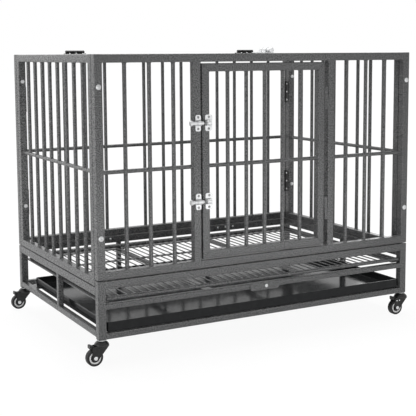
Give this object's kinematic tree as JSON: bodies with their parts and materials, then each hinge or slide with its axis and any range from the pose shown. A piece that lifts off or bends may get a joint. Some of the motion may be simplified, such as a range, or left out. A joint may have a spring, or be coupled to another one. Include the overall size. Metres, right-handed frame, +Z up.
{
  "type": "dog cage",
  "caption": "Welded tube dog cage on swivel castors, with a hinged barred front door, a lift-up lid, a slide-out floor grate and a waste tray under it.",
  "frame": {"origin": "on the floor, under the middle of the cage's bounding box", "axes": "+X along the cage, to the right as seen from the door; +Y from the door to the back; +Z up"},
  "size_m": [0.9574, 0.627, 0.7421],
  "materials": {
    "frame_paint": "dark grey hammertone powder coat, semi-gloss",
    "tray_sheet": "black gloss coat on thin sheet steel",
    "black_steel": "black satin coat on steel",
    "zinc": "bright zinc plate",
    "castor_tread": "black moulded nylon tread",
    "castor_rim": "white moulded wheel centre"
  },
  "bodies": {
    "frame": {"base_front": "frame_paint", "base_back": "frame_paint", "base_left": "frame_paint", "base_right": "frame_paint", "tray_cross_bar": "frame_paint", "front_panel": "frame_paint", "left_panel": "frame_paint", "right_panel": "frame_paint", "back_panel": "frame_paint", "door_hinge_upper_pin_half": "frame_paint", "door_hinge_lower_pin_half": "frame_paint", "lid_hinge_left_pin_half": "black_steel", "lid_hinge_right_pin_half": "black_steel", "door_upper_bolt_body": "zinc", "door_lower_bolt_body": "zinc", "lid_bolt_body": "zinc", "turn_latch_screw": "zinc", "corner_bolt_upper_left": "zinc", "corner_bolt_lower_left": "zinc", "corner_bolt_upper_right": "zinc", "corner_bolt_lower_right": "zinc", "fold_hinge_upper_left": "black_steel", "fold_hinge_lower_left": "black_steel", "fold_hinge_upper_right": "black_steel", "fold_hinge_lower_right": "black_steel", "castor_front_left_stem": "zinc", "castor_front_right_stem": "zinc", "castor_back_left_stem": "zinc", "castor_back_right_stem": "zinc"},
    "door": {"door": "frame_paint", "door_hinge_upper_door_half": "frame_paint", "door_hinge_lower_door_half": "frame_paint", "door_upper_keeper": "zinc", "door_lower_keeper": "zinc"},
    "lid": {"lid": "frame_paint", "lid_hinge_left_lid_half": "black_steel", "lid_hinge_right_lid_half": "black_steel", "lid_keeper": "zinc"},
    "door_upper_bolt": {"door_upper_bolt": "zinc"},
    "door_lower_bolt": {"door_lower_bolt": "zinc"},
    "lid_bolt": {"lid_bolt": "zinc"},
    "turn_latch": {"turn_latch": "frame_paint"},
    "grate": {"grate": "frame_paint"},
    "tray": {"tray": "tray_sheet"},
    "castor_front_left_fork": {"castor_front_left_fork": "black_steel", "castor_front_left_axle": "zinc"},
    "castor_front_left_wheel": {"castor_front_left_wheel": "castor_tread"},
    "castor_front_left_brake": {"castor_front_left_brake": "black_steel"},
    "castor_front_right_fork": {"castor_front_right_fork": "black_steel", "castor_front_right_axle": "zinc"},
    "castor_front_right_wheel": {"castor_front_right_wheel": "castor_tread"},
    "castor_front_right_brake": {"castor_front_right_brake": "black_steel"},
    "castor_back_left_fork": {"castor_back_left_fork": "black_steel", "castor_back_left_axle": "zinc"},
    "castor_back_left_wheel": {"castor_back_left_wheel": "castor_tread"},
    "castor_back_left_brake": {"castor_back_left_brake": "black_steel"},
    "castor_back_right_fork": {"castor_back_right_fork": "black_steel", "castor_back_right_axle": "zinc"},
    "castor_back_right_wheel": {"castor_back_right_wheel": "castor_tread"},
    "castor_back_right_brake": {"castor_back_right_brake": "black_steel"}
  },
  "joints": [
    {"name": "door_hinge", "type": "hinge", "parent": "frame", "child": "door", "pos_m": [0.19535, -0.2965, 0.466], "axis": [0, 0, 1], "range_deg": [0, 135]},
    {"name": "lid_hinge", "type": "hinge", "parent": "frame", "child": "lid", "pos_m": [0.01075, 0.284, 0.7345], "axis": [-1, 0, 0], "range_deg": [0, 180]},
    {"name": "door_upper_bolt_slide", "type": "slide", "parent": "frame", "child": "door_upper_bolt", "axis": [1, 0, 0], "range_m": [0, 0.011]},
    {"name": "door_lower_bolt_slide", "type": "slide", "parent": "frame", "child": "door_lower_bolt", "axis": [1, 0, 0], "range_m": [0, 0.011]},
    {"name": "lid_bolt_slide", "type": "slide", "parent": "frame", "child": "lid_bolt", "axis": [0, 1, 0], "range_m": [0, 0.011]},
    {"name": "turn_latch_pivot", "type": "hinge", "parent": "frame", "child": "turn_latch", "pos_m": [0.01075, -0.2978, 0.1372], "axis": [0, 1, 0], "range_deg": [-90, 0]},
    {"name": "grate_slide", "type": "slide", "parent": "frame", "child": "grate", "axis": [0, -1, 0], "range_m": [0, 0.5]},
    {"name": "tray_slide", "type": "slide", "parent": "frame", "child": "tray", "axis": [0, -1, 0], "range_m": [0, 0.5]},
    {"name": "castor_front_left_swivel", "type": "hinge", "parent": "frame", "child": "castor_front_left_fork", "pos_m": [-0.43925, -0.2875, 0.05], "axis": [0, 0, 1], "continuous": true},
    {"name": "castor_front_left_roll", "type": "hinge", "parent": "castor_front_left_fork", "child": "castor_front_left_wheel", "pos_m": [-0.45825, -0.2875, 0.0205], "axis": [0, 1, 0], "continuous": true},
    {"name": "castor_front_left_brake", "type": "hinge", "parent": "castor_front_left_fork", "child": "castor_front_left_brake", "pos_m": [-0.46105, -0.2875, 0.0458], "axis": [0, -1, 0], "range_deg": [0, 24]},
    {"name": "castor_front_right_swivel", "type": "hinge", "parent": "frame", "child": "castor_front_right_fork", "pos_m": [0.46075, -0.2875, 0.05], "axis": [0, 0, 1], "continuous": true},
    {"name": "castor_front_right_roll", "type": "hinge", "parent": "castor_front_right_fork", "child": "castor_front_right_wheel", "pos_m": [0.44175, -0.2875, 0.0205], "axis": [0, 1, 0], "continuous": true},
    {"name": "castor_front_right_brake", "type": "hinge", "parent": "castor_front_right_fork", "child": "castor_front_right_brake", "pos_m": [0.43895, -0.2875, 0.0458], "axis": [0, -1, 0], "range_deg": [0, 24]},
    {"name": "castor_back_left_swivel", "type": "hinge", "parent": "frame", "child": "castor_back_left_fork", "pos_m": [-0.43925, 0.2955, 0.05], "axis": [0, 0, 1], "continuous": true},
    {"name": "castor_back_left_roll", "type": "hinge", "parent": "castor_back_left_fork", "child": "castor_back_left_wheel", "pos_m": [-0.45825, 0.2955, 0.0205], "axis": [0, 1, 0], "continuous": true},
    {"name": "castor_back_left_brake", "type": "hinge", "parent": "castor_back_left_fork", "child": "castor_back_left_brake", "pos_m": [-0.46105, 0.2955, 0.0458], "axis": [0, -1, 0], "range_deg": [0, 24]},
    {"name": "castor_back_right_swivel", "type": "hinge", "parent": "frame", "child": "castor_back_right_fork", "pos_m": [0.46075, 0.2955, 0.05], "axis": [0, 0, 1], "continuous": true},
    {"name": "castor_back_right_roll", "type": "hinge", "parent": "castor_back_right_fork", "child": "castor_back_right_wheel", "pos_m": [0.44175, 0.2955, 0.0205], "axis": [0, 1, 0], "continuous": true},
    {"name": "castor_back_right_brake", "type": "hinge", "parent": "castor_back_right_fork", "child": "castor_back_right_brake", "pos_m": [0.43895, 0.2955, 0.0458], "axis": [0, -1, 0], "range_deg": [0, 24]}
  ]
}
